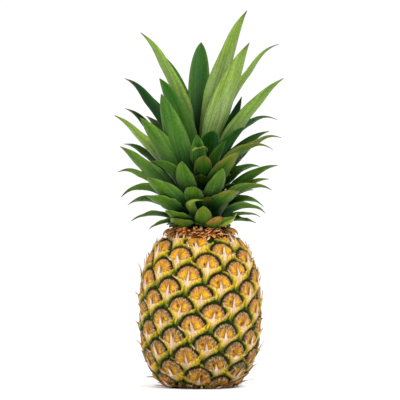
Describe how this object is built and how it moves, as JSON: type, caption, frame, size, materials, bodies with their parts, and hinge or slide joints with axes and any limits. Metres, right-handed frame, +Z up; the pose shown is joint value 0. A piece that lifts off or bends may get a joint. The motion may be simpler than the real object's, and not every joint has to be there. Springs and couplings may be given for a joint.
{
  "type": "pineapple",
  "caption": "Whole ripe pineapple standing on its base, with a spiral of raised eyes, a dry collar and a crown of pointed channelled leaves.",
  "frame": {"origin": "centre of the flat foot that the fruit stands on", "axes": "+Z up, along the fruit and its crown; the side seen first in the picture faces -Y"},
  "size_m": [0.168, 0.1516, 0.3742],
  "materials": {
    "fruit_skin": "waxy, domed eyes, yellow to orange, with green grooves",
    "cut_stalk_wood": "rough, fibrous cut face",
    "dry_bract": "dry, papery, reddish brown",
    "leaf_green": "satin, waxy leaf"
  },
  "bodies": {
    "root": {"fruit": "fruit_skin", "cut_stalk": "cut_stalk_wood", "neck_bracts": "dry_bract", "crown": "leaf_green"}
  },
  "joints": []
}
